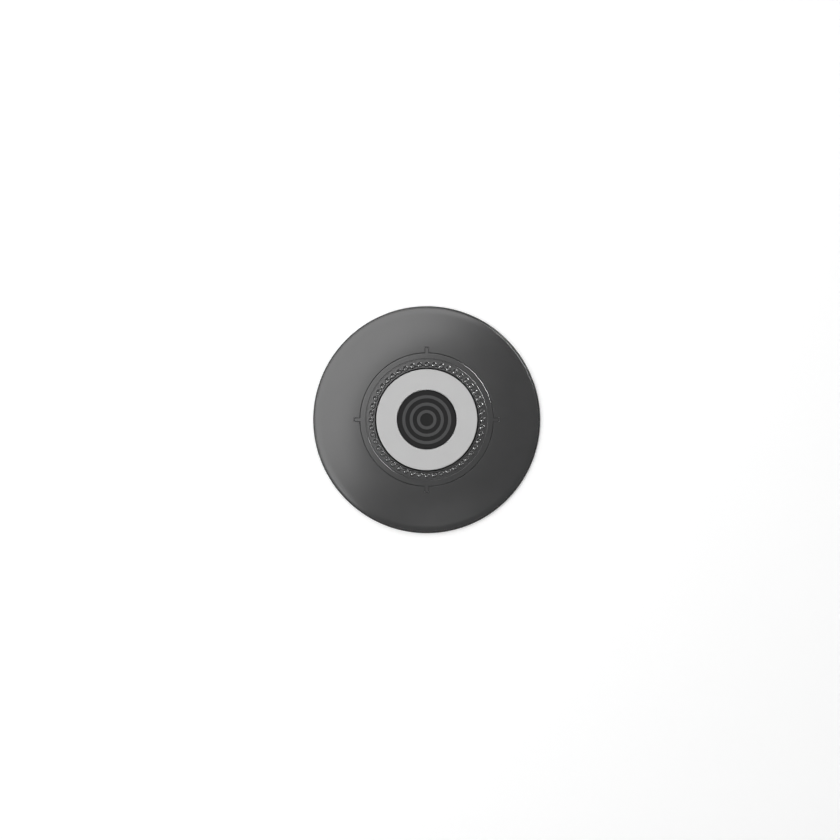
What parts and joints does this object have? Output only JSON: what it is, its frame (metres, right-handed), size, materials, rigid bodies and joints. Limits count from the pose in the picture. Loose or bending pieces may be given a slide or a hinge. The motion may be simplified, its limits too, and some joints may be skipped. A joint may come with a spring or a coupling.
{
  "type": "adhesive magnetic phone patch",
  "caption": "Round low disc that sticks to the back of a phone, with a ring magnet, a toothed index ring and a plain centre cap.",
  "frame": {"origin": "centre of the adhesive face", "axes": "+Z out of the docking face, along the patch's axis; +X and +Y through two of the four lugs"},
  "size_m": [0.065, 0.065, 0.0037],
  "materials": {
    "adhesive_foam": "matt black acrylic foam with adhesive on both faces",
    "backing_steel": "zinc-plated mild steel",
    "plate_plastic": "satin moulded plastic, very fine grain, dark grey",
    "ring_plastic": "satin moulded plastic, dark grey",
    "magnet_nickel": "matt light grey coating",
    "cap_plastic": "matt black moulded plastic, raised rings in mid grey"
  },
  "bodies": {
    "root": {"adhesive_pad": "adhesive_foam", "backing_disc": "backing_steel", "patch_plate": "plate_plastic", "index_ring": "ring_plastic", "ring_magnet": "magnet_nickel", "centre_cap": "cap_plastic"}
  },
  "joints": []
}
